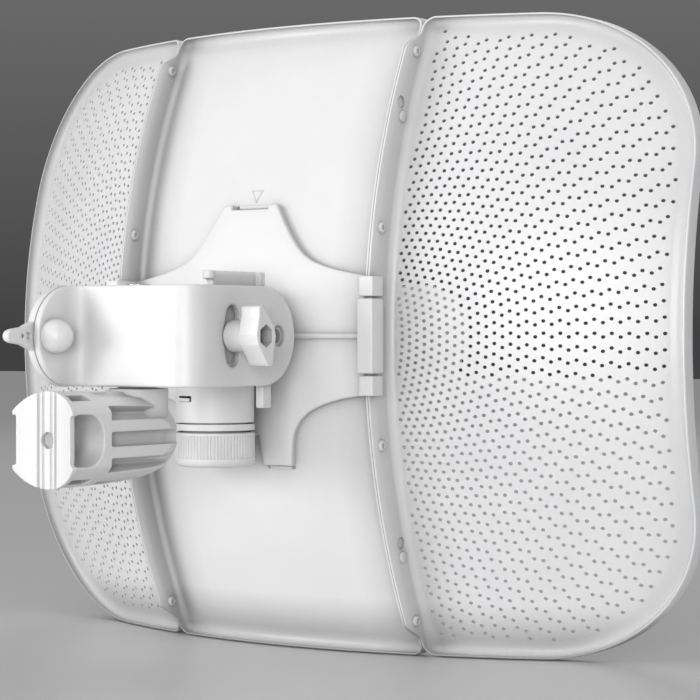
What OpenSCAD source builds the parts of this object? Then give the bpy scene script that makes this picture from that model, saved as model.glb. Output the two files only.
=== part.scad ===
// Parabolic dish antenna with a swivelling and tilting pole mount.
// Millimetres, +Z up, +Y along the beam, origin at the mouth of the saddle's bolt hole.
// Inside at_vertex() the origin is the middle of the dish, and -Y is the way back to the pole.

/* [Dish] */
// width across the three panels
dish_width = 358; // [300:1:400]
// height of the panels
dish_height = 272; // [230:1:300]
// corner radius of the outline seen along the beam
dish_corner = 66; // [40:1:80]
// four times the focal length
dish_curve = 507; // [440:1:600]
// sheet thickness
sheet = 0.8; // [0.6:0.1:1.5]
// half width of the middle panel
joint_x = 66; // [55:1:75]
// height of the joint flanges
flange_height = 14.8; // [8:0.1:18]
// depth of the rolled rim
rim_depth = 6; // [3:0.5:8]

/* [Feed] */
// radius of the feed tube
feed_r = 15; // [12:0.5:18]
// distance from the dish to the front of the feed
feed_reach = 148; // [120:1:160]
// radius of the feed cap
feed_cap_r = 24.5; // [20:0.5:28]

/* [Housing] */
// distance of the housing axis behind the dish
housing_d = 21.7; // [20:0.1:26]
// outer radius of the housing
housing_r = 16.5; // [14:0.1:18]

/* [Arm] */
// thickness of the arm band
arm_t = 3; // [2:0.1:4]
// half height of the arm
arm_h = 20.2; // [16:0.1:21]
// distance of the tilt pivot behind the dish
pivot_d = 28; // [24:0.5:32]
// radius of the slot about the pivot
slot_r = 32; // [28:0.5:36]
// reach of the slot each way in degrees
slot_angle = 14.5; // [10:0.5:18]

/* [Pole mount] */
// distance of the swivel post behind the dish
post_d = 72; // [68:0.5:76]
// radius of the swivel post
post_r = 7.5; // [6:0.1:8]
// distance from the dish to the saddle valley
saddle_d = 126.5; // [120:0.5:132]
// height of the dish middle above the saddle bolt
saddle_drop = 40; // [36:0.5:46]
// radius of the saddle
saddle_r = 38; // [25:0.5:45]
// radius of the saddle bolt hole
saddle_bolt_r = 3.1; // [2.5:0.1:4.5]

/* [Hidden] */
$fn = 72;
paint = [0.9, 0.9, 0.9];
plastic = [0.93, 0.93, 0.93];
steel = [0.75, 0.76, 0.78];
dark = [0.2, 0.2, 0.22];
green = [0.1, 0.4, 0.2];
far = 400;
bolt_d = pivot_d + slot_r;
rivet_z = [-120, -45, 45, 120];
stud_z = [-93, 92];

function dish(r) = r * r / dish_curve;

module at_vertex() {
    translate([0, saddle_d, saddle_drop]) children();
}

// Turns a revolved or extruded shape so that its axis runs along the beam.
module beam() {
    rotate([-90, 0, 0]) children();
}

// Extrudes an outline drawn in X and Z between two depths behind the dish.
module depth_prism(d0, d1) {
    translate([0, -d0, 0]) rotate([90, 0, 0]) linear_extrude(d1 - d0) children();
}

// Extrudes an outline drawn in depth and Z between two X positions.
module side_prism(x0, x1) {
    translate([x0, 0, 0]) rotate([0, 0, -90]) rotate([90, 0, 0])
        mirror([0, 0, 1]) linear_extrude(x1 - x0) children();
}

// A round bar along X, at a depth and a height.
module x_bar(x0, x1, d, z, r) {
    translate([x0, -d, z]) rotate([0, 90, 0]) cylinder(r = r, h = x1 - x0);
}

// A round bar along the beam, from depth d0 to depth d1.
module y_bar(d0, d1, x, z, r) {
    translate([x, -d0, z]) rotate([90, 0, 0]) cylinder(r = r, h = d1 - d0);
}

// The solid between two copies of the dish surface, from back to front.
module dish_band(back, front) {
    n = 16;
    step = 212 / n;
    low = [for (i = [0:n]) [i * step, dish(i * step) + back]];
    high = [for (i = [n:-1:0]) [i * step, dish(i * step) + front]];
    beam() rotate_extrude() polygon(concat(low, high));
}

module outline(inset) {
    w = dish_width / 2 - inset;
    h = dish_height / 2 - inset;
    c = dish_corner - inset;
    square([2 * w, 2 * (h - c)], center = true);
    square([2 * (w - c), 2 * h], center = true);
    for (x = [-1, 1])
        for (z = [-1, 1])
            translate([x * (w - c), z * (h - c)]) circle(r = c);
}

module slab(x0, x1) {
    translate([x0, -far / 2, -far / 2]) cube([x1 - x0, far, far]);
}

// One panel: the sheet, its rolled rim and a flange along each joint.
module panel(x0, x1, flanges) {
    intersection() {
        dish_band(0, sheet);
        depth_prism(-100, 60) outline(0);
        slab(x0, x1);
    }
    intersection() {
        dish_band(-rim_depth, sheet / 2);
        depth_prism(-100, 60) difference() {
            outline(0);
            outline(1);
        }
        slab(x0, x1);
    }
    for (f = flanges)
        intersection() {
            dish_band(-flange_height, sheet / 2);
            depth_prism(-100, 60) outline(4);
            slab(f, f + 1);
        }
}

// Holes through the joint flanges for the rivets and the keyhole studs.
module joint_holes() {
    for (s = [-1, 1]) {
        for (z = rivet_z)
            x_bar(s * joint_x - 3, s * joint_x + 3, 9 - dish(norm([joint_x, z])), z, 1.7);
        for (z = stud_z)
            x_bar(s * joint_x - 3, s * joint_x + 3, 8 - dish(norm([joint_x, z])), z, 1.7);
    }
}

module reflector_center() {
    color(paint) at_vertex() difference() {
        panel(-joint_x, joint_x, [-joint_x, joint_x - 1]);
        joint_holes();
        y_bar(-20, 20, 0, 0, feed_r + 0.6);
        translate([-9.2, -20, 53.9]) cube([18.4, 40, 2.2]);
        for (x = [-22.4, 8.4])
            translate([x, -20, -56.7]) cube([14, 40, 1.8]);
    }
}

module reflector_left() {
    color(paint) at_vertex() difference() {
        panel(-200, -joint_x, [-joint_x - 1]);
        joint_holes();
    }
}

module reflector_right() {
    color(paint) at_vertex() difference() {
        panel(joint_x, 200, [joint_x]);
        joint_holes();
    }
}

// A fastener across one joint: a shank through both flanges, with a head on each side.
module joint_stud(x, z, lift, head_r, shank_r) {
    d = lift - dish(norm([joint_x, z]));
    x_bar(x - 2.4, x + 2.4, d, z, shank_r);
    x_bar(x - 2.8, x - 1.05, d, z, head_r);
    x_bar(x + 1.05, x + 2.8, d, z, head_r);
}

module joint_rivets() {
    color(steel) at_vertex()
        for (s = [-1, 1])
            for (z = rivet_z)
                joint_stud(s * joint_x, z, 9, 3.1, 1.6);
}

module keyhole_studs() {
    color(steel) at_vertex()
        for (s = [-1, 1])
            for (z = stud_z)
                joint_stud(s * joint_x, z, 8, 2.8, 1.6);
}

// Outline of the cross-shaped bracket, seen along the beam.
module bracket_outline() {
    upper = [[15, 53.5], [19, 47], [23.2, 40.9], [26, 37.3], [29.4, 33.9], [33.5, 31.3],
             [38.8, 29.2], [45, 27.4], [52, 26], [58.8, 24.9], [64.6, 24.4]];
    lower = [[64.6, -24.4], [55.3, -24.9], [48, -25.9], [41.7, -27.6], [36.5, -29.4],
             [32.1, -31.6], [29.4, -33.6], [27, -35.8], [24.6, -39.5], [22.9, -44],
             [22, -50], [21.2, -54.5], [7.2, -54.5], [6.4, -42]];
    right = concat([[9.4, 53.7], [9.6, 55.6], [13.6, 55.6]], upper, lower);
    left = [for (i = [len(right) - 1:-1:0]) [-right[i][0], right[i][1]]];
    polygon(concat(right, left));
}

// Clip over one joint: two walls and a bar on top, cut by slits into three lengths.
module flange_clip(s) {
    difference() {
        union() {
            translate([s > 0 ? 63.8 : -70.9, -9, -24.4]) cube([7.1, 2.2, 48.8]);
            translate([s > 0 ? 63.8 : -65, -9, -24.4]) cube([1.2, 14, 48.8]);
            translate([s > 0 ? 67.2 : -70.9, -9, -24.4]) cube([3.7, 8.6, 48.8]);
        }
        for (z = [-15.8, 15.8])
            translate([s > 0 ? 63.2 : -72, -10, z - 0.4]) cube([8.8, 6, 0.8]);
    }
}

module rear_bracket() {
    color(plastic) at_vertex() {
        difference() {
            union() {
                intersection() {
                    dish_band(-3.8, -0.05);
                    depth_prism(-30, 10) bracket_outline();
                }
                x_bar(39, 62.5, -1.2, 0, 1.5);
                translate([-8.5, 2.6, 51]) cube([17, 1.6, 4.4]);
                translate([-8.5, 2.6, 54.1]) cube([17, 7, 1.4]);
                translate([-8.5, 8.4, 54.1]) cube([17, 1.2, 3.6]);
            }
            y_bar(-20, 20, 0, 0, feed_r + 0.6);
        }
        flange_clip(1);
        flange_clip(-1);
    }
}

// The ear beside the arm, drawn in depth and Z.
module ear_side() {
    translate([pivot_d, 0]) circle(r = 11);
    translate([pivot_d, -11]) square([37.5, 22]);
    translate([33, 0]) square([32.5, 19.6]);
}

module pivot_ear() {
    color(plastic) at_vertex() difference() {
        union() {
            side_prism(28, 34.6) ear_side();
            translate([29.6, -65.5, 19]) cube([3.2, 32.5, 4.4]);
            translate([28.6, -36.6, 19]) cube([6, 3.6, 7]);
            y_bar(35, 66.2, 31.2, 24.4, 1.7);
            translate([31.2, -66.2, 22.6]) cylinder(r = 2.4, h = 3.6);
            translate([31, -34.8, -29.4]) cube([3.6, 6, 30]);
            translate([17.5, -6.4, -11]) cube([6.5, 3, 22]);
            translate([17.5, -17.4, -5.5]) cube([6.5, 14, 11]);
            translate([22, -17.4, -8]) cube([7, 5.4, 16]);
        }
        x_bar(20, 40, pivot_d, 0, 4.2);
        x_bar(20, 40, bolt_d, 0, 4.05);
        for (z = [-8.2, 8.2])
            y_bar(0, 10, 20.8, z, 1.4);
    }
}

module ear_screws() {
    color(steel) at_vertex()
        for (z = [-8.2, 8.2]) {
            y_bar(3.5, 6.6, 20.8, z, 1.3);
            y_bar(6.45, 8, 20.8, z, 2.3);
        }
}

module pivot_pin() {
    color(plastic) at_vertex() difference() {
        union() {
            x_bar(24.5, 36.2, pivot_d, 0, 4.15);
            x_bar(24.5, 27.9, pivot_d, 0, 6.6);
        }
        x_bar(27, 37, pivot_d, 0, 3);
    }
}

module tilt_bolt() {
    color(steel) at_vertex() {
        x_bar(26, 38.2, bolt_d, 0, 4);
        x_bar(38, 50.4, bolt_d, 0, 3);
        translate([22.9, -bolt_d, 0]) rotate([0, 90, 0]) cylinder(r = 7.2, h = 5, $fn = 6);
    }
}

module wing_knob() {
    color(plastic) at_vertex() difference() {
        union() {
            x_bar(38.4, 50, bolt_d, 0, 6.3);
            side_prism(46.2, 55.4) polygon([
                [64.9, 11.2], [63.8, 11.9], [62.6, 11.7], [57.8, 7.3], [54.8, 3.8],
                [53.7, 0], [54.3, -3.4], [55.3, -6.6], [55.5, -10.9], [56.4, -11.8],
                [58.6, -11.9], [59.7, -10.9], [62.5, -7.2], [65.4, -3.6], [66.6, 0.6],
                [65.6, 4.6], [65, 7.4]
            ]);
        }
        x_bar(38, 57, bolt_d, 0, 3.1);
        translate([47.6, -bolt_d, 0]) rotate([0, 90, 0]) cylinder(r = 4.6, h = 9, $fn = 6);
    }
}

module knob_nut() {
    color(steel) at_vertex() difference() {
        translate([47.8, -bolt_d, 0]) rotate([0, 90, 0]) cylinder(r = 4.5, h = 2.2, $fn = 6);
        x_bar(47, 52, bolt_d, 0, 3.08);
    }
}

// Points on an arc about [x, y] of radius r, from angle a0 to a1.
function arc(x, y, r, a0, a1) =
    [for (i = [0:12]) [x + r * cos(a0 + (a1 - a0) * i / 12), y + r * sin(a0 + (a1 - a0) * i / 12)]];

// The arm's band in plan: forward leg, rear face and offset rear leg, with two bends.
module arm_plan() {
    polygon(concat(
        [[38, -10]], arc(28, -76, 10, 0, -90), arc(-13.5, -92.5, 6.5, 90, 180),
        [[-20, -116], [-20 - arm_t, -116]], arc(-13.5, -92.5, 6.5 + arm_t, 180, 90),
        arc(28, -76, 10 - arm_t, -90, 0), [[38 - arm_t, -10]]
    ));
}

module arm_stadium(r) {
    translate([37.2, 0]) circle(r = r);
    translate([37.2, -r]) square([51.8, 2 * r]);
    translate([89, 0]) circle(r = r);
}

// Slot on a circle about the pivot, drawn in depth and Z.
module tilt_slot() {
    w = 4.35;
    u = slot_r * cos(slot_angle);
    v = slot_r * sin(slot_angle);
    translate([pivot_d, 0]) polygon(concat(
        arc(0, 0, slot_r + w, -slot_angle, slot_angle), arc(u, v, w, slot_angle, slot_angle + 180),
        arc(0, 0, slot_r - w, slot_angle, -slot_angle),
        arc(u, -v, w, 180 - slot_angle, 360 - slot_angle)
    ));
}

module tilt_arm() {
    color(plastic) at_vertex() difference() {
        intersection() {
            translate([0, 0, -30]) linear_extrude(60) arm_plan();
            side_prism(-40, 40) arm_stadium(arm_h);
        }
        x_bar(30, 45, pivot_d, 0, 4.2);
        side_prism(30, 45) tilt_slot();
        x_bar(-30, -15, 101.2, 0, 3.3);
        for (z = [-12, 12])
            y_bar(80, 90, 0, z, 2.1);
    }
}

module swivel_sleeve() {
    color(plastic) at_vertex() difference() {
        union() {
            translate([0, -post_d, -20.2]) cylinder(r = 10.8, h = 36.4);
            translate([-9, -82.98, -17]) cube([18, 9, 33]);
        }
        translate([0, -post_d, -30]) cylinder(r = post_r + 0.06, h = 60);
        for (z = [-12, 12])
            y_bar(80.8, 84, 0, z, 2.1);
    }
}

module sleeve_rivets() {
    color(plastic) at_vertex()
        for (z = [-12, 12])
            y_bar(81, 85.9, 0, z, 2);
}

module sight_plate() {
    color(plastic) at_vertex() difference() {
        union() {
            intersection() {
                x_bar(-26.2, -23.05, 89, 0, 20.4);
                translate([-30, -130, -30]) cube([10, 46, 60]);
            }
            side_prism(-26.2, -23.05) polygon([
                [100, 15.4], [105, 9.6], [108, 6], [114.4, 3.5], [120.5, 2.7], [122.4, 1.9],
                [123.3, 0.6], [123.3, -0.6], [122.4, -1.9], [120.5, -2.7], [114.4, -3.5],
                [108, -6], [105, -9.6], [100, -15.4]
            ]);
        }
        x_bar(-30, -15, 101.2, 0, 3.3);
        side_prism(-30, -20) polygon([[113.4, 0], [115.4, 1.2], [115.4, -1.2]]);
        side_prism(-30, -20) polygon([[110, 0.9], [112.4, 1.7], [112.4, -1.7], [110, -0.9]]);
    }
}

module arm_bolt() {
    color(plastic) at_vertex() {
        x_bar(-31.5, -19.5, 101.2, 0, 3.2);
        translate([-19.95, -101.2, 0]) rotate([0, 90, 0]) rotate_extrude() polygon([
            [0, 0], [6.8, 0], [6.85, 2.3], [6.6, 4], [5.9, 5.7], [4.8, 7.1],
            [3.4, 8.2], [1.8, 8.9], [0, 9.1]
        ]);
    }
}

module arm_nut() {
    color(steel) at_vertex() difference() {
        translate([-30.6, -101.2, 0]) rotate([0, 90, 0]) cylinder(r = 6.4, h = 4.3, $fn = 6);
        x_bar(-32, -25, 101.2, 0, 3.25);
    }
}

// Barrel of the pole mount, drawn as radius against depth.
module barrel() {
    translate([0, 0, -saddle_drop]) rotate([90, 0, 0]) rotate_extrude() polygon([
        [0, 61.3], [10.5, 61.3], [12.2, 62.2], [13.4, 63.5], [14.6, 66], [15.9, 70.5],
        [16.8, 75], [17.4, 80], [17.9, 87], [18.3, 97], [18.6, 110], [18.7, 131], [0, 131]
    ]);
}

// Long pockets round the front of the barrel and short ones behind the saddle.
module flutes() {
    for (s = [0, 180]) {
        for (f = [[-72, 16.8], [-36, 13.2], [0, 11.6], [36, 13.2], [72, 16.8]])
            translate([0, 0, -saddle_drop]) rotate([0, f[0] + s, 0])
                translate([f[1], -106.2, -2.8]) cube([12, 50, 5.6]);
        for (a = [-62, 62])
            translate([0, 0, -saddle_drop]) rotate([0, a + s, 0])
                translate([13.6, -124.6, -2.4]) cube([8, 11.6, 4.8]);
    }
}

// The saddle's thin curved plate, with the grooves down its valley and the bolt hole.
module saddle_plate() {
    difference() {
        intersection() {
            translate([0, 0, -saddle_drop]) rotate([90, 0, 0]) cylinder(r = 19, h = 131);
            translate([0, -saddle_d - saddle_r, -80]) cylinder(r = saddle_r + 2.6, h = 80);
            translate([-15.4, -131, -80]) cube([30.8, 20, 80]);
        }
        translate([0, -saddle_d - saddle_r, -90]) cylinder(r = saddle_r, h = 100);
        for (x = [-4.9, -2.6, 1.4, 3.7])
            translate([x, -saddle_d - 0.9, -80]) cube([1.2, 1.8, 80]);
        for (x = [-18.8, 13.8])
            translate([x, -131, -saddle_drop - 9.6]) cube([5, 20, 19.2]);
        y_bar(110, 140, 0, -saddle_drop, saddle_bolt_r);
    }
}

module strap_window() {
    translate([119.8, -10]) square([10.6, 20]);
    translate([110.8, -1]) square([10, 2]);
    for (z = [-1, 1])
        translate([119.8, z]) circle(r = 9);
}

module clamp_body() {
    color(plastic) at_vertex() {
        difference() {
            union() {
                difference() {
                    barrel();
                    flutes();
                }
                translate([0, -post_d, -saddle_drop - 9]) cylinder(r = 12, h = 28);
                translate([0, -post_d, -30]) cylinder(r = post_r, h = 46.3);
            }
            translate([0, 0, -saddle_drop]) side_prism(-30, 30) strap_window();
            translate([0, -saddle_d - saddle_r, -80]) cylinder(r = saddle_r + 1.3, h = 80);
            translate([15.4, -140, -80]) cube([20, 80, 80]);
            translate([-35.4, -140, -80]) cube([20, 80, 80]);
            translate([0, -post_d, 2]) cylinder(r = 2.5, h = 20);
        }
        saddle_plate();
    }
}

module swivel_washer() {
    color(steel) at_vertex() difference() {
        translate([0, -post_d, 16.35]) cylinder(r = 10.4, h = 1.4);
        translate([0, -post_d, 16]) cylinder(r = 2.6, h = 3);
    }
}

module swivel_screw() {
    color(steel) at_vertex() difference() {
        union() {
            translate([0, -post_d, 3]) cylinder(r = 2.45, h = 15);
            translate([0, -post_d, 17.8]) cylinder(r = 4.6, h = 3);
        }
        translate([0, -post_d, 18.8]) cylinder(r = 2.4, h = 3, $fn = 6);
    }
}

module radio_housing() {
    color(plastic) at_vertex() difference() {
        union() {
            translate([0, -housing_d, -36]) cylinder(r = housing_r, h = 55);
            translate([0, -housing_d, 19]) cylinder(r = housing_r - 1.5, h = 1);
            translate([0, -housing_d, -50]) cylinder(r = 13.6, h = 15);
            y_bar(-6, 20, 0, 0, feed_r + 0.2);
        }
        translate([0, -housing_d, -34]) cylinder(r = housing_r - 2, h = 52);
        translate([0, -housing_d, -51]) cylinder(r = 8.9, h = 20);
        y_bar(-7, 22, 0, 0, feed_r - 1.8);
        translate([-7.6, -housing_d - 18, -27.4]) cube([7.9, 8, 2.5]);
    }
}

// A springy tongue in the slot of the housing's rear wall.
module housing_latch() {
    color(plastic) at_vertex() difference() {
        intersection() {
            translate([-7.55, -housing_d - 18, -27.35]) cube([6.95, 8, 1.6]);
            translate([0, -housing_d, -30]) cylinder(r = housing_r + 0.4, h = 8);
        }
        translate([0, -housing_d, -31]) cylinder(r = housing_r - 1.9, h = 10);
    }
}

module seal_ring() {
    color(plastic) at_vertex() difference() {
        translate([0, -housing_d, -39.3]) cylinder(r = 16.7, h = 2.6);
        translate([0, -housing_d, -40]) cylinder(r = 13.65, h = 5);
    }
}

module radio_board() {
    color(green) at_vertex() translate([-12, -housing_d - 3, -17]) cube([24, 1.6, 32]);
}

module ethernet_jack() {
    color(steel) at_vertex() difference() {
        translate([-8, -housing_d - 6.5, -33.5]) cube([16, 13, 16]);
        translate([-6, -housing_d - 4.5, -34]) cube([12, 7, 11]);
    }
}

module gland_seal() {
    color(dark) at_vertex() difference() {
        translate([0, -housing_d, -54.2]) cylinder(r = 8.8, h = 11);
        translate([0, -housing_d, -57]) cylinder(r = 3, h = 14);
    }
}

module knurled_collar() {
    color(plastic) at_vertex() difference() {
        union() {
            translate([0, -housing_d, -52]) cylinder(r = 16.8, h = 12.3);
            translate([0, -housing_d, -55]) cylinder(r1 = 13.8, r2 = 16.8, h = 3.01);
        }
        translate([0, -housing_d, -50.4]) cylinder(r = 13.67, h = 12);
        translate([0, -housing_d, -56]) cylinder(r = 9.2, h = 8);
    }
}

module feed_collar() {
    color(plastic) at_vertex() beam() difference() {
        translate([0, 0, 1.6]) cylinder(r = 19, h = 5.5);
        cylinder(r = feed_r + 0.3, h = 10);
    }
}

module feed_tube() {
    color(plastic) at_vertex() beam() difference() {
        translate([0, 0, 6.1]) cylinder(r = feed_r, h = feed_reach - 28);
        translate([0, 0, 5]) cylinder(r = feed_r - 1.8, h = feed_reach - 20);
    }
}

module feed_board() {
    color(green) at_vertex() translate([-11, 10, -0.8]) cube([22, feed_reach - 36, 1.6]);
}

module feed_reflector() {
    color(steel) at_vertex() beam() translate([0, 0, feed_reach - 8]) cylinder(r = 21, h = 1.2);
}

module feed_cap() {
    color(plastic) at_vertex() beam() rotate_extrude() polygon([
        [feed_r + 0.05, feed_reach - 27], [feed_cap_r - 5, feed_reach - 24],
        [feed_cap_r - 1, feed_reach - 19], [feed_cap_r, feed_reach - 15],
        [feed_cap_r, feed_reach - 7], [feed_cap_r - 2, feed_reach - 3],
        [feed_cap_r - 7, feed_reach - 0.8], [0, feed_reach],
        [0, feed_reach - 2], [feed_cap_r - 7.4, feed_reach - 2.8],
        [feed_cap_r - 3.4, feed_reach - 4.6], [feed_cap_r - 2, feed_reach - 7.6],
        [feed_cap_r - 2, feed_reach - 15], [feed_cap_r - 3, feed_reach - 18.4],
        [feed_r + 0.05, feed_reach - 21]
    ]);
}

clamp_body();
swivel_washer();
swivel_screw();
tilt_arm();
swivel_sleeve();
sleeve_rivets();
sight_plate();
arm_bolt();
arm_nut();
rear_bracket();
pivot_ear();
ear_screws();
pivot_pin();
tilt_bolt();
radio_housing();
housing_latch();
seal_ring();
radio_board();
ethernet_jack();
gland_seal();
knurled_collar();
reflector_center();
reflector_left();
reflector_right();
joint_rivets();
keyhole_studs();
feed_collar();
feed_tube();
feed_board();
feed_reflector();
feed_cap();
wing_knob();
knob_nut();
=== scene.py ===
import math

import bmesh
import bpy
import numpy as np
from mathutils import Matrix, Vector
from mathutils.geometry import delaunay_2d_cdt

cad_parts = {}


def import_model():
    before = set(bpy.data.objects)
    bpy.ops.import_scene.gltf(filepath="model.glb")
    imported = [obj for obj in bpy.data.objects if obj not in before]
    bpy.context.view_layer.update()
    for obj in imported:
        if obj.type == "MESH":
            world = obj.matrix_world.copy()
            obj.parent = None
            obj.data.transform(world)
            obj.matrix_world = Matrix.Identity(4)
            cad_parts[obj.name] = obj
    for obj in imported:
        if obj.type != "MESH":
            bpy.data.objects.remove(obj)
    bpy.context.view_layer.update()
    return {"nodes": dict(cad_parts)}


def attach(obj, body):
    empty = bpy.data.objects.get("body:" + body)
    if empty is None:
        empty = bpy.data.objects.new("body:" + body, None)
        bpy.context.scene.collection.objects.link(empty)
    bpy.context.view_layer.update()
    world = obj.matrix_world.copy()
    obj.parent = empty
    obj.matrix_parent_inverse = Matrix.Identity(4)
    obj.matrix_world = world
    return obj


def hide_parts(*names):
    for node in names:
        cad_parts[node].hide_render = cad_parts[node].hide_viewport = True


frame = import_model()

# Camera, at the photograph's viewing angle: level, and this far round from straight behind.
CAMERA_TURN = math.radians(34.378)
cam_data = bpy.data.cameras.new("camera")
cam_data.sensor_width = 36.0
cam_data.lens = 118.8221
cam_data.shift_y = -0.02
cam_data.clip_start, cam_data.clip_end = 0.05, 60.0
camera = bpy.data.objects.new("camera", cam_data)
bpy.context.collection.objects.link(camera)
camera.location = (0.5949, -0.6643, 0.04)
camera.rotation_euler = (math.radians(90), 0, CAMERA_TURN)
bpy.context.scene.camera = camera

# Shapes are worked out in millimetres from the middle of the dish: x, depth behind the dish, z.
DISH_Y, DISH_Z = 126.5, 40.0  # where the middle of the dish lies in the row frame
CURVE = 507.0  # four times the dish's focal length
HALF_WIDTH, HALF_HEIGHT, CORNER = 179.0, 136.0, 66.0
JOINT = 66.0  # x of the joint between two panels
SHEET = 0.8


def world(p):
    """Points (x, depth, z) in millimetres to row-frame metres."""
    p = np.asarray(p, float).reshape(-1, 3)
    return np.stack([p[:, 0], DISH_Y - p[:, 1], p[:, 2] + DISH_Z], 1) / 1000.0


# -------------------- materials


def new_mat(name):
    """A new material, its node tree and its main shader."""
    m = bpy.data.materials.new(name)
    m.use_nodes = True
    t = m.node_tree
    return m, t, t.nodes["Principled BSDF"]


def node(t, kind, **values):
    """A new shader node, with settings or input values given by name."""
    n = t.nodes.new(kind)
    for k, v in values.items():
        if hasattr(n, k):
            setattr(n, k, v)
        else:
            n.inputs[k].default_value = v
    return n


def surface(name, low, high, rough, grain, grain_bump, swirl, rough_span,
            coat=0.0, metallic=0.0, peel=None, fold_shade=0.52, reach=0.016):
    """A painted or moulded surface: cloudy colour and gloss over a fine grain bump, with painted shade in
    folds.

    peel is the scale and strength of a coarser bump, and reach is how near a fold has to be, in metres.
    The painted shade scales the colour down, to the factor given for folds where a fold is deepest.
    """
    m, t, bsdf = new_mat(name)
    link = t.links.new
    where = node(t, "ShaderNodeTexCoord")
    cloud = node(t, "ShaderNodeTexNoise", Scale=swirl, Detail=5.0, Roughness=0.6)
    link(where.outputs["Object"], cloud.inputs["Vector"])
    ramp = node(t, "ShaderNodeValToRGB")
    ramp.color_ramp.elements[0].position, ramp.color_ramp.elements[1].position = 0.3, 0.7
    ramp.color_ramp.elements[0].color = (*low, 1)
    ramp.color_ramp.elements[1].color = (*high, 1)
    link(cloud.outputs["Fac"], ramp.inputs["Fac"])
    # painted shade: ambient occlusion darkens the base colour in folds, creases and holes, where shade
    # falls
    fold = node(t, "ShaderNodeAmbientOcclusion", Distance=reach)
    fold.samples = 5
    shade_range = node(t, "ShaderNodeMapRange")
    for socket, value in (("From Min", 0.3), ("From Max", 0.95), ("To Min", fold_shade), ("To Max", 1.0)):
        shade_range.inputs[socket].default_value = value
    link(fold.outputs["AO"], shade_range.inputs["Value"])
    painted_shade = t.nodes.new("ShaderNodeVectorMath")
    painted_shade.operation = "SCALE"
    link(ramp.outputs["Color"], painted_shade.inputs[0])
    link(shade_range.outputs["Result"], painted_shade.inputs["Scale"])
    link(painted_shade.outputs["Vector"], bsdf.inputs["Base Color"])
    fine = node(t, "ShaderNodeTexNoise", Scale=grain, Detail=3.0, Roughness=0.55)
    link(where.outputs["Object"], fine.inputs["Vector"])
    span = node(t, "ShaderNodeMapRange")
    span.inputs["To Min"].default_value = rough - rough_span
    span.inputs["To Max"].default_value = rough + rough_span
    link(cloud.outputs["Fac"], span.inputs["Value"])
    link(span.outputs["Result"], bsdf.inputs["Roughness"])
    bump = node(t, "ShaderNodeBump", Strength=grain_bump, Distance=0.0002)
    link(fine.outputs["Fac"], bump.inputs["Height"])
    last = bump
    if peel:
        wave = node(t, "ShaderNodeTexNoise", Scale=peel[0], Detail=1.0)
        link(where.outputs["Object"], wave.inputs["Vector"])
        last = node(t, "ShaderNodeBump", Strength=peel[1], Distance=0.0005)
        link(wave.outputs["Fac"], last.inputs["Height"])
        link(bump.outputs["Normal"], last.inputs["Normal"])
    link(last.outputs["Normal"], bsdf.inputs["Normal"])
    bsdf.inputs["Coat Weight"].default_value = coat
    bsdf.inputs["Coat Roughness"].default_value = 0.25
    bsdf.inputs["Metallic"].default_value = metallic
    return m


# the powder coat's painted shade in folds is darker and reaches further than the default
PAINT = surface("powder_coat", (0.80, 0.80, 0.81), (0.84, 0.84, 0.845), 0.36, 2600.0, 0.10, 22.0, 0.05,
                coat=0.12, peel=(420.0, 0.06), fold_shade=0.36, reach=0.024)
PLASTIC = surface("moulded_white", (0.80, 0.80, 0.80), (0.84, 0.84, 0.835), 0.42, 5200.0, 0.16, 45.0, 0.05)
STEEL = surface("zinc_steel", (0.55, 0.56, 0.58), (0.68, 0.69, 0.70), 0.34, 3000.0, 0.3, 300.0, 0.1,
                metallic=1.0)
RUBBER = surface("dark_rubber", (0.02, 0.02, 0.022), (0.04, 0.04, 0.042), 0.7, 2500.0, 0.5, 120.0, 0.08)
BOARD = surface("board_green", (0.01, 0.10, 0.04), (0.02, 0.16, 0.06), 0.4, 900.0, 0.3, 260.0, 0.06)

# -------------------- mesh tools


def piece(name, verts, faces, mat, body, replaces=(), sharp=40.0):
    """A mesh piece from (x, depth, z) millimetres, smooth with hard edges over the sharp angle."""
    me = bpy.data.meshes.new(name)
    me.from_pydata(world(verts).tolist(), [], [tuple(int(i) for i in f) for f in faces])
    me.validate()
    me.update()
    me.materials.append(mat)
    obj = bpy.data.objects.new(name, me)
    bpy.context.collection.objects.link(obj)
    me.polygons.foreach_set("use_smooth", [True] * len(me.polygons))
    if sharp is not None:
        me.set_sharp_from_angle(angle=math.radians(sharp))
    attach(obj, body)
    if replaces:
        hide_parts(*replaces)
    return obj


def signed_area(loop):
    """Twice the area of a loop, positive when it runs anticlockwise."""
    x, y = loop[:, 0], loop[:, 1]
    return float(np.sum(x * np.roll(y, -1) - np.roll(x, -1) * y))


def turned(loop, anticlockwise):
    """The loop, running the way asked for."""
    loop = np.asarray(loop, float)
    return loop if (signed_area(loop) > 0) == anticlockwise else loop[::-1]


def inset(loop, e):
    """Moves a closed loop to its left by e."""
    if e == 0:
        return loop.copy()
    nxt = np.roll(loop, -1, 0) - loop
    nxt /= np.maximum(np.linalg.norm(nxt, axis=1, keepdims=True), 1e-9)
    prv = np.roll(nxt, 1, 0)
    n1 = np.stack([-nxt[:, 1], nxt[:, 0]], 1)
    n0 = np.stack([-prv[:, 1], prv[:, 0]], 1)
    n = n0 + n1
    n /= np.maximum(np.linalg.norm(n, axis=1, keepdims=True), 1e-9)
    c = np.maximum(np.sum(n * n1, axis=1, keepdims=True), 0.5)
    return loop + n * (e / c)


def inside(pts, loop):
    """Which points lie inside a loop."""
    x, y = pts[:, 0][:, None], pts[:, 1][:, None]
    x0, y0 = loop[:, 0][None], loop[:, 1][None]
    x1, y1 = np.roll(loop[:, 0], -1)[None], np.roll(loop[:, 1], -1)[None]
    cross = (y0 > y) != (y1 > y)
    with np.errstate(divide="ignore", invalid="ignore"):
        at = x0 + (y - y0) * (x1 - x0) / (y1 - y0)
    return (np.sum(cross & (x < at), axis=1) % 2) == 1


MANY_HOLES = 14


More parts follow.
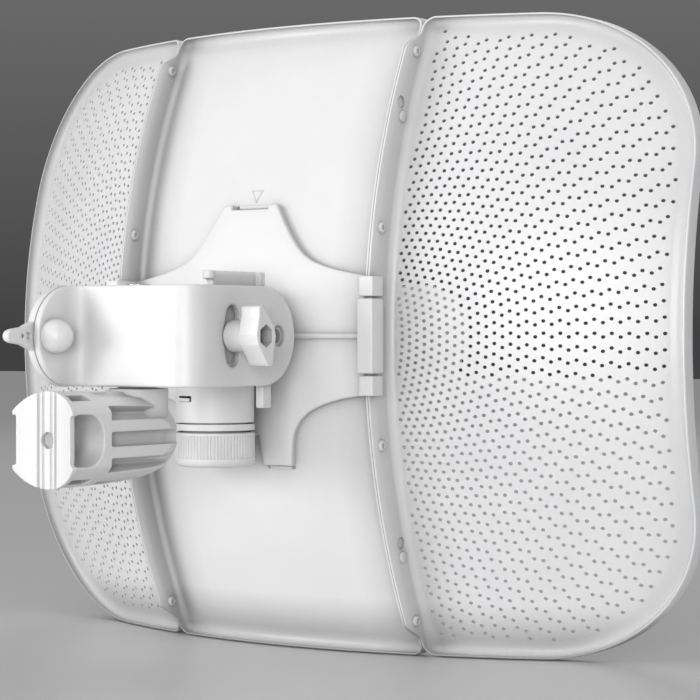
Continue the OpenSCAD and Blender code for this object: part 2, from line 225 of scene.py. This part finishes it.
def fill(loops, extra=None):
    """Triangulates the region inside loops[0] and outside the rest.

    Returns the points, the triangles and the indices of each loop's points.
    """
    pts, edges, owner, spans = [], [], [], []
    for k, loop in enumerate(loops):
        base = len(pts)
        n = len(loop)
        pts += [tuple(p) for p in loop]
        owner += [k] * n
        edges += [(base + i, base + (i + 1) % n) for i in range(n)]
        spans.append((base, n))
    if extra is not None and len(extra):
        pts += [tuple(p) for p in extra]
        owner += [-1] * len(extra)
    out = delaunay_2d_cdt([Vector(p) for p in pts], edges, [], 0, 1e-6)
    v = np.array([(p[0], p[1]) for p in out[0]])
    tri = np.array([f for f in out[2] if len(f) == 3], int)
    where = {}
    for i, src in enumerate(out[3]):
        for s in src:
            where[s] = i
    own = np.full(len(v), -1)
    for s, i in where.items():
        own[i] = owner[s]
    cen = v[tri].mean(1)
    keep = inside(cen, np.asarray(loops[0]))
    if len(loops) > MANY_HOLES:
        # a triangle with all three corners on one hole fills that hole
        o = own[tri]
        keep &= ~((o[:, 0] == o[:, 1]) & (o[:, 1] == o[:, 2]) & (o[:, 0] > 0))
    else:
        for loop in loops[1:]:
            keep &= ~inside(cen, np.asarray(loop))
    tri = tri[keep]
    a = v[tri]
    s1, s2 = a[:, 1] - a[:, 0], a[:, 2] - a[:, 0]
    flip = (s1[:, 0] * s2[:, 1] - s1[:, 1] * s2[:, 0]) < 0
    tri[flip] = tri[flip][:, ::-1]
    ids = [np.array([where[b + i] for i in range(n)]) for b, n in spans]
    return v, tri, ids


def grid_points(loop, holes, step, margin):
    """Points step apart inside a loop and outside the holes, at least margin from any of them."""
    lo, hi = loop.min(0), loop.max(0)
    rows = [np.arange(lo[k] + step / 2, hi[k], step) for k in (0, 1)]
    g = np.stack(np.meshgrid(*rows), -1).reshape(-1, 2)
    keep = inside(g, loop)
    for h in [loop] + list(holes):
        d = np.min(np.linalg.norm(g[:, None] - h[None], axis=2), axis=1)
        keep &= d > margin
    for h in holes:
        keep &= ~inside(g, h)
    return g[keep]


def plate(name, loops, fmap, w0, w1, mat, body, replaces=(), bevel=0.5, grid=0.0, steps=4, back=True):
    """A plate from w0 to w1 with rounded edges, and without its back face and back edge if back is off.

    loops are in the plate's own (u, v); fmap turns (u, v, w) into (x, depth, z).
    """
    loops = [turned(loops[0], True)] + [turned(l, False) for l in loops[1:]]
    tops = [inset(l, bevel) for l in loops]
    extra = grid_points(tops[0], tops[1:], grid, grid * 0.45) if grid else None
    uv, tri, ids = fill(tops, extra)
    verts, faces = [], []

    def add(p, w):
        base = sum(len(a) for a in verts)
        verts.append(fmap(p[:, 0], p[:, 1], np.full(len(p), float(w))))
        return base

    def edge_row(k, w, way):
        a = math.pi / 2 * k / steps
        e, w = bevel * (1 - math.sin(a)), w + way * bevel * (1 - math.cos(a))
        return [add(inset(l, e), w) + np.arange(len(l)) for l in loops]

    base = add(uv, w1)
    faces += (tri + base).tolist()
    rows = [[base + i for i in ids]]
    for k in range(1, steps + 1):
        rows.append(edge_row(k, w1, -1))
    if back:
        for k in range(steps, 0, -1):
            rows.append(edge_row(k, w0, 1))
        base = add(uv, w0)
        faces += (tri[:, ::-1] + base).tolist()
        rows.append([base + i for i in ids])
    else:
        rows.append([add(l, w0) + np.arange(len(l)) for l in loops])
    for r0, r1 in zip(rows[:-1], rows[1:]):
        for a, b in zip(r0, r1):
            n = len(a)
            for i in range(n):
                j = (i + 1) % n
                faces.append((a[i], b[i], b[j], a[j]))
    return piece(name, np.concatenate(verts), faces, mat, body, replaces)


def lathe(name, profile, place, mat, body, replaces=(), n=72, wobble=None):
    """Turns (radius, height) points about an axis; place maps local (a, b, height) to (x, depth, z).

    wobble gives what to add to the radius at each angle and height.
    """
    prof = np.asarray(profile, float)
    th = np.linspace(0, 2 * math.pi, n, endpoint=False)
    verts = []
    for r, h in prof:
        rr = r + (wobble(th, h) if wobble is not None else 0.0) * np.ones(n)
        verts.append(place(rr * np.cos(th), rr * np.sin(th), np.full(n, h)))
    faces = []
    for k in range(len(prof) - 1):
        for i in range(n):
            j = (i + 1) % n
            faces.append((k * n + i, k * n + j, (k + 1) * n + j, (k + 1) * n + i))
    return piece(name, np.concatenate(verts), faces, mat, body, replaces)


def upright_at(x, d):
    """Places a turned piece on an upright axis."""
    return lambda a, b, h: np.stack([x + a, d + b, h], 1)


def arc(cx, cy, r, a0, a1, n):
    """n points along an arc from angle a0 to a1, in degrees."""
    t = np.radians(np.linspace(a0, a1, n))
    return np.stack([cx + r * np.cos(t), cy + r * np.sin(t)], 1)


def round_box(u0, u1, v0, v1, r, n=6):
    """A rectangle with rounded corners."""
    return np.concatenate([arc(u1 - r, v1 - r, r, 0, 90, n), arc(u0 + r, v1 - r, r, 90, 180, n),
                           arc(u0 + r, v0 + r, r, 180, 270, n), arc(u1 - r, v0 + r, r, 270, 360, n)])


def dense(loop, step):
    """Adds points so that no side of a closed loop is longer than step."""
    out = []
    for a, b in zip(loop, np.roll(loop, -1, 0)):
        k = max(1, int(math.ceil(np.linalg.norm(b - a) / step)))
        out += [a + (b - a) * i / k for i in range(k)]
    return np.array(out)


def shell(verts, faces, thick):
    """Thickens a surface to the front by thick, with walls on its open edges."""
    v = np.asarray(verts, float)
    normal = np.zeros_like(v)
    for f in faces:
        p = v[list(f)]
        n = np.cross(p[1] - p[0], p[2] - p[0]) if len(f) == 3 else np.cross(p[2] - p[0], p[3] - p[1])
        for i in f:
            normal[i] += n
    normal /= np.maximum(np.linalg.norm(normal, axis=1, keepdims=True), 1e-12)
    front = v - normal * thick
    n = len(v)
    count = {}
    for f in faces:
        for a, b in zip(f, list(f[1:]) + [f[0]]):
            count[(a, b)] = count.get((a, b), 0) + 1
    walls = [(b, a, a + n, b + n) for (a, b) in count if (b, a) not in count]
    flipped = [tuple(i + n for i in reversed(f)) for f in faces]
    return np.concatenate([v, front]), [tuple(f) for f in faces] + flipped + walls


# -------------------- the dish sheets


def on_dish(u, v, w):
    """A point w behind the dish's rear face, along its normal."""
    k = 2 / CURVE
    n = np.sqrt(1 + (k * u) ** 2 + (k * v) ** 2)
    return np.stack([u + w * k * u / n, -(u * u + v * v) / CURVE + w / n, v + w * k * v / n], 1)


def ease(t):
    """0 up to 1, slow at both ends."""
    t = np.clip(t, 0.0, 1.0)
    return t * t * (3 - 2 * t)


COARSE, FINE = 4.0, 0.9  # spacing of an outline's points, fine where a joint's wall gets lower
TAPER_Z = 118.0


def outline(x0, x1, r0, r1):
    """A panel's outline, clockwise from its upper left corner, and the inward direction at each point.

    r0 and r1 are the radii of the corners at x0 and x1.
    """
    p, n = [], []

    def line(a, b, normal, step):
        k = max(2, int(np.hypot(b[0] - a[0], b[1] - a[1]) / step))
        for i in range(k):
            p.append((a[0] + (b[0] - a[0]) * i / k, a[1] + (b[1] - a[1]) * i / k))
            n.append(normal)

    def corner(cx, cz, r, a0, a1):
        for t in np.radians(np.linspace(a0, a1, 40 if r > 20 else 14, endpoint=False)):
            p.append((cx + r * math.cos(t), cz + r * math.sin(t)))
            n.append((-math.cos(t), -math.sin(t)))

    def upright(x, start, end, normal):
        if abs(x) > 100:
            line((x, start), (x, end), normal, COARSE)
            return
        turn = TAPER_Z if end > start else -TAPER_Z
        line((x, start), (x, -turn), normal, FINE)
        line((x, -turn), (x, turn), normal, COARSE)
        line((x, turn), (x, end), normal, FINE)

    z0, z1 = HALF_HEIGHT - r0, HALF_HEIGHT - r1
    line((x0 + r0, HALF_HEIGHT), (x1 - r1, HALF_HEIGHT), (0, -1), COARSE)
    corner(x1 - r1, z1, r1, 90, 0)
    upright(x1, z1, -z1, (-1, 0))
    corner(x1 - r1, -z1, r1, 0, -90)
    line((x1 - r1, -HALF_HEIGHT), (x0 + r0, -HALF_HEIGHT), (0, 1), COARSE)
    corner(x0 + r0, -z0, r0, -90, -180)
    upright(x0, -z0, z0, (1, 0))
    corner(x0 + r0, z0, r0, 180, 90)
    return np.array(p), np.array(n, float)


RIM_HIGH, JOINT_EXTRA = 6.4, 8.4  # the wall's height round the dish, and how much more it has at a joint
TOP_ROUND = 0.28  # rounding of the wall's top


def wall_shape(p):
    """Height of the turned-up wall and width of the bend at its foot, at each point of an outline."""
    a = np.abs(np.abs(p[:, 0]) - JOINT)
    z = np.abs(p[:, 1])
    at_joint = a < 0.5
    high = np.where(at_joint, RIM_HIGH + JOINT_EXTRA * ease((129.0 - z) / 7.5), RIM_HIGH)
    foot = np.where(at_joint, 3.0 + 1.2 * ease((z - TAPER_Z) / 12), 4.2 + 2.2 * ease((a - 5) / 12))
    return high, foot


def wall_rows(p, n):
    """Rows of points from the foot of the wall to its top, in (x, depth, z)."""
    high, foot = wall_shape(p)
    bend = np.minimum(foot, high - 1.2)
    rows = []
    for t in np.radians(range(0, 91, 10)):
        rows.append((SHEET + foot * (1 - math.sin(t)), bend * (1 - math.cos(t))))
    rows.append((SHEET, bend + (high - 0.3 - bend) * 0.5))
    top = ((0.0, TOP_ROUND), (0.08, 0.08), (TOP_ROUND, 0.0))
    rows += [(SHEET - s, high - w) for s, w in top]
    rows += [(s, high - w) for s, w in reversed(top)]
    rows.append((0.0, -SHEET))
    rows.append((SHEET + foot, -SHEET))
    out = []
    for s, w in rows:
        q = p + n * np.reshape(np.broadcast_to(s, len(p)), (-1, 1))
        out.append(np.stack([q[:, 0], -(q[:, 0] ** 2 + q[:, 1] ** 2) / CURVE + w, q[:, 1]], 1))
    return out


def rim(name, p, n, holes=()):
    """The closed wall round a panel, with its foot, as one bent strip.

    holes are the middles of the keyhole openings cut through the wall at a joint.
    """
    rows = wall_rows(p, n)
    m = len(p)
    faces = []
    for k in range(len(rows)):
        k1 = (k + 1) % len(rows)
        for i in range(m):
            j = (i + 1) % m
            faces.append((k * m + i, k * m + j, k1 * m + j, k1 * m + i))
    obj = piece(name, np.concatenate(rows), faces, PAINT, "head")
    for c in holes:
        round_cut = bmesh.new()
        at = Matrix.Translation(world(c)[0].tolist()) @ Matrix.Rotation(math.pi / 2, 4, "Y")
        r = KEYHOLE_R / 1000
        bmesh.ops.create_cone(round_cut, cap_ends=True, segments=40, radius1=r, radius2=r, depth=0.006,
                              matrix=at)
        shape = bpy.data.meshes.new("cutter")
        round_cut.to_mesh(shape)
        round_cut.free()
        tool = bpy.data.objects.new("cutter", shape)
        bpy.context.collection.objects.link(tool)
        cut = obj.modifiers.new("keyhole", "BOOLEAN")
        cut.operation, cut.object, cut.solver = "DIFFERENCE", tool, "EXACT"
        done = bpy.data.meshes.new_from_object(obj.evaluated_get(bpy.context.evaluated_depsgraph_get()))
        obj.modifiers.clear()
        obj.data = done
        done.set_sharp_from_angle(angle=math.radians(30))
        bpy.data.objects.remove(tool)
    return obj


def sheet_piece(name, uv, tri, cad):
    """A panel's curved sheet, from its flat triangles."""
    v = on_dish(uv[:, 0], uv[:, 1], np.zeros(len(uv)))
    faces = [tuple(reversed(f)) if rear_up(v, f) < 0 else tuple(f) for f in tri.tolist()]
    v, faces = shell(v, faces, SHEET)
    return piece(name, v, faces, PAINT, "head", (cad,), 50.0)


def rear_up(v, f):
    """Sign of a face's normal towards the rear."""
    p = v[list(f)][:3]
    return np.cross(p[1] - p[0], p[2] - p[0])[1]


def foot_line(p, n):
    """Where the foot of the wall meets the sheet."""
    return p + n * (SHEET + wall_shape(p)[1])[:, None]


# The holes lie on rings about the beam axis, and every second ring is moved round a little.
RING_STEP, RING_HOLES, RING_SHIFT, RING_START = 3.038, 160, 1.5, -0.16
HOLE_R = 0.78
HOLE_MARGIN = 1.05  # least distance of a hole's middle from the foot of the wall
KEYHOLES = ((-19.0, 97.9), (-18.7, -86.7))  # depth and z
KEYHOLE_R = 2.7
JOINT_GAP = 0.06  # half the gap between two panels
SMALL_R = 5.0  # radius of the corners at a joint


def hole_middles(outer, edge):
    """The middles of a right-hand panel's holes."""
    c = []
    for k in range(22, 68):
        r = RING_STEP * k
        shift = RING_SHIFT / r if k % 2 == 0 else 0.0
        for i in range(RING_HOLES):
            t = math.radians(360 / RING_HOLES * i + RING_START) + shift
            c.append((r * math.cos(t), r * math.sin(t)))
    c = np.array(c)
    c = c[(c[:, 0] > JOINT) & (c[:, 0] < HALF_WIDTH) & (np.abs(c[:, 1]) < HALF_HEIGHT)]
    c = c[inside(c, outer)]
    return c[np.min(np.linalg.norm(c[:, None] - edge[None], axis=2), axis=1) > HOLE_MARGIN]


def side_panel(side, name, cad):
    """A perforated panel, drawn on the right and mirrored if side is -1."""
    p, n = outline(JOINT + JOINT_GAP, HALF_WIDTH, SMALL_R, CORNER)
    outer = turned(foot_line(p, n), True)
    edge = dense(outer, 1.0)
    c = hole_middles(outer, edge)
    a = np.radians(np.arange(10) * 36.0)
    ring = HOLE_R * np.stack([np.cos(a), -np.sin(a)], 1)
    holes = [q + ring for q in c]
    g = np.stack(np.meshgrid(np.arange(68, 178, 3.4), np.arange(-134, 134, 3.4)), -1).reshape(-1, 2)
    g = g[inside(g, outer)]
    near = np.min(np.linalg.norm(g[:, None] - c[None], axis=2), axis=1)
    g = g[(near > 2.4) & (np.min(np.linalg.norm(g[:, None] - edge[None], axis=2), axis=1) > 1.6)]
    uv, tri, _ = fill([outer] + holes, g)
    uv[:, 0] *= side
    sheet_piece(name, uv, tri, cad)
    if side < 0:
        p, n = (p * [-1, 1])[::-1], (n * [-1, 1])[::-1]
    rim(name + "_rim", p, n, [(JOINT + 0.6, d, z) for d, z in KEYHOLES] if side > 0 else ())


BORE_R = 15.6  # the hole for the housing's neck


def middle_panel():
    """The plain panel, with the neck's hole and the slots for the bracket's hooks."""
    p, n = outline(-JOINT + JOINT_GAP, JOINT - JOINT_GAP, SMALL_R, SMALL_R)
    outer = turned(foot_line(p, n), True)
    holes = [arc(0, 0, BORE_R, 360, 0, 49)[:-1]]
    for x0, x1, z0, z1 in ((-9.2, 9.2, 53.9, 56.1), (7.2, 21.2, -56.7, -54.9), (-21.2, -7.2, -56.7, -54.9)):
        holes.append(turned(round_box(x0, x1, z0, z1, 0.8), False))
    uv, tri, _ = fill([outer] + holes, grid_points(outer, holes, 4.6, 2.4))
    sheet_piece("middle_panel", uv, tri, "reflector_center")
    rim("middle_panel_rim", p, n)


side_panel(1, "perforated_panel_right", "reflector_right")
side_panel(-1, "perforated_panel_left", "reflector_left")
middle_panel()


def joint_head(name, joint, z, lift, side, profile):
    """A head lying on a joint wall's face."""
    d = lift - (JOINT * JOINT + z * z) / CURVE
    at = joint + side * 0.86
    return lathe(name, profile, lambda a, b, h: np.stack([at + side * h, d + a, z + b], 1),
                 PAINT, "head", (), 36)


# Profiles as (radius, height) above the wall's face.
RIVET = [(2.5, -0.1), (2.5, 0.3), (2.36, 0.75), (1.95, 1.15), (1.45, 1.34), (1.15, 1.32), (0.95, 1.15),
         (0.88, 0.7), (0.6, 0.62), (0.001, 0.62)]
STUD = [(2.45, -0.1), (2.45, 0.55), (2.3, 0.85), (2.0, 1.0), (0.001, 1.03)]
for j, x in enumerate((-JOINT, JOINT)):
    for i, (z, lift) in enumerate(((-120.4, 7.0), (-45.2, 8.8), (44.8, 8.8), (120.2, 6.8))):
        for side in (-1, 1):
            o = joint_head("rivet_%d_%d_%s" % (j, i, "ab"[side > 0]), x, z, lift, side, RIVET)
            if i == 0 and j == 0:
                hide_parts("joint_rivets")
    for i, z in enumerate((-92.5, 91.9)):
        o = joint_head("stud_%d_%d" % (j, i), x, z, 5.6, (-1, 1)[j], STUD)
        if i == 0 and j == 0:
            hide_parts("keyhole_studs")

# -------------------- rear bracket

# The right half of the cross-shaped plate, as (x, z).
UPPER = [(9.4, 53.7), (9.6, 55.6), (13.6, 55.6), (15, 53.5), (19, 47), (23.2, 40.9), (26, 37.3),
         (29.4, 33.9), (33.5, 31.3), (38.8, 29.2), (45, 27.4), (52, 26), (58.8, 24.9), (64.6, 24.4)]
LOWER = [(64.6, -24.4), (55.3, -24.9), (48, -25.9), (41.7, -27.6), (36.5, -29.4), (32.1, -31.6),
         (29.4, -33.6), (27, -35.8), (24.6, -39.5), (22.9, -44), (21.9, -50), (21.2, -54.5),
         (7.2, -54.5), (6.4, -42)]
half = UPPER + LOWER
cross = dense(np.array(half + [(-x, z) for x, z in reversed(half)]), 2.0)
plate("bracket_cross", [cross, arc(0, 0, BORE_R, 0, 360, 49)[:-1]], on_dish, 0.05, 3.8, PLASTIC, "head",
      ("rear_bracket",), bevel=1.1, grid=4.0, back=False)


def level(u, v, w):
    """A block whose outline is drawn in x and depth and which rises in z."""
    return np.stack([u, -v, w], 1)


def block(name, x0, x1, d0, d1, z0, z1, r, bevel=0.5):
    """A box of the bracket with rounded edges; r rounds its upright ones."""
    return plate(name, [round_box(x0, x1, -d1, -d0, r)], level, z0, z1, PLASTIC, "head", (), bevel)


def rod(name, u0, u1, r):
    """A round bar lying on the cross-shaped plate at z = 0."""
    ends = np.linspace(u0, u1, 24)
    profile = [(0.001, u0)] + [(r, u) for u in ends] + [(0.001, u1)]
    return lathe(name, profile, lambda a, b, h: on_dish(h, b, 4.7 + a), PLASTIC, "head", (), 24)


def on_side(side, a, b):
    """The span from a to b, mirrored if side is -1."""
    return sorted((a * side, b * side))


# Each clip is three blocks with slits between them; the middle one stands out by grow.
CLIP_PARTS = (("upper", 16.3, 24.5, 0.0), ("middle", -15.3, 15.3, 0.55), ("lower", -24.5, -16.3, 0.0))
for side, tag in ((1, "right"), (-1, "left")):
    block("clip_core_" + tag, *on_side(side, 64.6, 68.3), 1.2, 5.4, -24.0, 24.0, 0.4)
    for part, z0, z1, grow in CLIP_PARTS:
        block("clip_%s_%s" % (part, tag), *on_side(side, 64.0 - grow, 70.9 + grow * 0.4),
              0.4, 9.0 + grow, z0, z1, 0.9, 0.45)
    block("clip_inner_" + tag, *on_side(side, 64.25, 65.2), -6.0, 6.0, -24.4, 24.4, 0.4)
    rod("rib_rod_" + tag, *on_side(side, 20.0, 64.5), 1.15)
block("upper_tongue", -7.7, 9.0, -8.2, -5.4, 54.6, 56.0, 0.2, 0.12)
block("leg_tongue_right", 8.6, 19.8, -8.8, -5.9, -56.6, -55.4, 0.2, 0.12)
block("leg_tongue_left", -19.8, -8.6, -8.8, -5.9, -56.6, -55.4, 0.2, 0.12)
block("upper_hook", -8.5, 8.5, -9.6, -8.4, 54.1, 57.6, 0.5, 0.3)

# The small triangle pressed into the sheet above the bracket, as three raised strokes.
ARROW = np.array([(-2.4, 62.6), (3.2, 62.6), (0.4, 57.6)])
STROKE = 0.2  # half a stroke's width
for k in range(3):
    a, b = ARROW[k], ARROW[(k + 1) % 3]
    t = (b - a) / np.linalg.norm(b - a) * STROKE
    o = np.array([-t[1], t[0]])
    stroke = np.array([a - t + o, a - t - o, b + t - o, b + t + o])
    plate("arrow_mark_%d" % k, [stroke], on_dish, -0.1, 0.22, PAINT, "head", bevel=0.1, steps=2, back=False)

# -------------------- arm

# The band's visible face runs along a front leg, a bend, a rear face, a second bend and a rear leg.
ARM_FRONT, PIVOT_DEPTH = 17.0, 28.0  # depths of the band's front end and of the pivot
FRONT_X, REAR_DEPTH, REAR_X = 38.0, 86.0, -20.0  # where the front leg, the rear face and the rear leg lie
BEND_1, BEND_2 = 10.0, 6.5  # radii
STRETCHES = [59.0, 15.708, 41.5, 10.21, 18.0]
ENDS = np.cumsum([0] + STRETCHES)


def on_arm(u, v, w):
    """A point u along the arm's visible face, v up it and w out of it."""
    cx1, cd1 = FRONT_X - BEND_1, REAR_DEPTH - BEND_1
    cx2, cd2 = REAR_X + BEND_2, REAR_DEPTH + BEND_2
    x, d, nx, nd = (np.zeros_like(u) for _ in range(4))
    m = u <= ENDS[1]
    x[m], d[m], nx[m] = FRONT_X, ARM_FRONT + u[m], 1.0
    m = (u > ENDS[1]) & (u <= ENDS[2])
    t = (u[m] - ENDS[1]) / BEND_1
    x[m], d[m], nx[m], nd[m] = cx1 + BEND_1 * np.cos(t), cd1 + BEND_1 * np.sin(t), np.cos(t), np.sin(t)
    m = (u > ENDS[2]) & (u <= ENDS[3])
    x[m], d[m], nd[m] = cx1 - (u[m] - ENDS[2]), REAR_DEPTH, 1.0
    m = (u > ENDS[3]) & (u <= ENDS[4])
    t = (u[m] - ENDS[3]) / BEND_2
    x[m], d[m], nx[m], nd[m] = cx2 - BEND_2 * np.sin(t), cd2 - BEND_2 * np.cos(t), np.sin(t), np.cos(t)
    m = u > ENDS[4]
    x[m], d[m], nx[m] = REAR_X, cd2 + (u[m] - ENDS[4]), 1.0
    return np.stack([x + nx * w, d + nd * w, v], 1)


HALF_BAND = 20.2  # half the band's height, and the radius of its ends
SLOT_R, SLOT_HALF, SLOT_ANGLE = 32.0, 4.35, 14.5  # the arc slot about the pivot
rear_end = ENDS[4] - 3.5
arm_loop = dense(np.concatenate([arc(HALF_BAND, 0, HALF_BAND, 90, 270, 61),
                                 arc(rear_end, 0, HALF_BAND, -90, 90, 61)]), 1.2)
pivot = PIVOT_DEPTH - ARM_FRONT
end_u = pivot + SLOT_R * math.cos(math.radians(SLOT_ANGLE))
end_v = SLOT_R * math.sin(math.radians(SLOT_ANGLE))
slot = np.concatenate([
    arc(pivot, 0, SLOT_R + SLOT_HALF, -SLOT_ANGLE, SLOT_ANGLE, 13),
    arc(end_u, end_v, SLOT_HALF, SLOT_ANGLE, 180 + SLOT_ANGLE, 13)[1:-1],
    arc(pivot, 0, SLOT_R - SLOT_HALF, SLOT_ANGLE, -SLOT_ANGLE, 13),
    arc(end_u, -end_v, SLOT_HALF, 180 - SLOT_ANGLE, 360 - SLOT_ANGLE, 13)[1:-1]])
pivot_hole = arc(pivot, 0, 4.2, 0, 360, 41)[:-1]
plate("arm_band", [arm_loop, slot, pivot_hole], on_arm, -3.0, 0.0, PLASTIC, "arm",
      ("tilt_arm",), bevel=0.9, grid=1.6, steps=5)

# -------------------- gland collar

HOUSING_DEPTH = 21.7
COLLAR = [(15.6, -40.0), (16.3, -40.2), (16.75, -40.6), (16.8, -41.4), (16.6, -41.7), (16.6, -45),
          (16.6, -48), (16.6, -50.9), (16.8, -51.1), (16.8, -51.8), (16.5, -53.0), (15.7, -54.0),
          (14.2, -54.6), (12.8, -54.7), (9.8, -54.7), (9.3, -54.4), (9.2, -54.0), (9.2, -51.0)]


def knurl(angle, height):
    """The ridges between the collar's two smooth rims."""
    if not -51.0 < height < -41.6:
        return 0.0
    return 0.2 * np.clip(1.6 * np.cos(72 * angle), -1, 1)


lathe("gland_collar", COLLAR, upright_at(0, HOUSING_DEPTH), PLASTIC, "collar", ("knurled_collar",),
      504, knurl)

# -------------------- moulded parts, rounded from their CAD shapes


def soften(name, body, voxel, rounds):
    """A copy of a CAD part's mesh with all its edges rounded. voxel is in millimetres."""
    src = frame["nodes"][name]
    obj = bpy.data.objects.new(name + "_moulded", src.data.copy())
    bpy.context.collection.objects.link(obj)
    obj.matrix_world = src.matrix_world.copy()
    grid = obj.modifiers.new("grid", "REMESH")
    grid.mode, grid.voxel_size = "VOXEL", voxel / 1000.0
    relax = obj.modifiers.new("relax", "SMOOTH")
    relax.factor, relax.iterations = 0.5, rounds
    done = bpy.data.meshes.new_from_object(obj.evaluated_get(bpy.context.evaluated_depsgraph_get()))
    obj.modifiers.clear()
    obj.data = done
    done.name = name + "_moulded"
    done.materials.clear()
    done.materials.append(PLASTIC)
    done.polygons.foreach_set("use_smooth", [True] * len(done.polygons))
    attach(obj, body)
    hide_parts(name)


soften("clamp_body", "pole_mount", 0.36, 3)
soften("pivot_ear", "head", 0.42, 4)
soften("wing_knob", "knob", 0.3, 5)
soften("sight_plate", "arm", 0.34, 4)
soften("swivel_sleeve", "arm", 0.42, 4)
soften("housing_latch", "head", 0.3, 3)

# -------------------- materials on the CAD nodes still shown

CAD_LOOK = {"swivel_washer": STEEL, "swivel_screw": STEEL, "arm_nut": STEEL, "ear_screws": STEEL,
            "tilt_bolt": STEEL, "knob_nut": STEEL, "feed_reflector": STEEL, "ethernet_jack": STEEL,
            "gland_seal": RUBBER, "radio_board": BOARD, "feed_board": BOARD}
for name, obj in frame["nodes"].items():
    obj.data.materials.clear()
    obj.data.materials.append(CAD_LOOK.get(name, PLASTIC))

# -------------------- floor and light

FLOOR_Z, FLOOR_HALF = -0.0965, 6.0  # just under the dish's lowest edge
floor_mesh = bpy.data.meshes.new("floor")
corners = [(x * FLOOR_HALF, y * FLOOR_HALF, FLOOR_Z) for x, y in ((-1, -1), (1, -1), (1, 1), (-1, 1))]
floor_mesh.from_pydata(corners, [], [(0, 1, 2, 3)])
floor = bpy.data.objects.new("floor", floor_mesh)
bpy.context.collection.objects.link(floor)
paper, _, paper_bsdf = new_mat("floor_paper")
paper_bsdf.inputs["Base Color"].default_value = (0.68, 0.68, 0.68, 1)
paper_bsdf.inputs["Roughness"].default_value = 0.42
floor_mesh.materials.append(paper)

MIDDLE = Vector((0.0, 0.1, 0.04))


def soft_box(name, place, watts, size):
    """A round area light that faces the middle of the object."""
    data = bpy.data.lights.new(name, "AREA")
    data.energy = watts
    data.shape, data.size = "DISK", size
    obj = bpy.data.objects.new(name, data)
    bpy.context.collection.objects.link(obj)
    obj.location = place
    obj.rotation_euler = (MIDDLE - Vector(place)).to_track_quat("-Z", "Y").to_euler()


soft_box("right_box", (0.95, -1.5, 0.2), 20.0, 0.9)
soft_box("left_box", (-1.0, -1.4, 0.2), 15.0, 0.9)
soft_box("top_box", (0.0, -0.5, 1.9), 2.5, 1.4)
soft_box("front_box", (-0.9, 1.9, 1.3), 4.0, 1.2)

# The studio round it: dark at the horizon and below, pale overhead.
studio = bpy.data.worlds.new("studio")
studio.use_nodes = True
tree = studio.node_tree
background = tree.nodes["Background"]
where = node(tree, "ShaderNodeTexCoord")
parts = node(tree, "ShaderNodeSeparateXYZ")
fade = node(tree, "ShaderNodeValToRGB")
tree.links.new(where.outputs["Generated"], parts.inputs[0])
tree.links.new(parts.outputs["Z"], fade.inputs["Fac"])
tree.links.new(fade.outputs["Color"], background.inputs["Color"])
dark, pale = fade.color_ramp.elements
dark.position, dark.color = 0.0, (0.12, 0.12, 0.125, 1)
pale.position, pale.color = 0.6, (0.95, 0.95, 0.95, 1)
background.inputs["Strength"].default_value = 0.44
bpy.context.scene.world = studio
bpy.context.scene.view_settings.view_transform = "Standard"
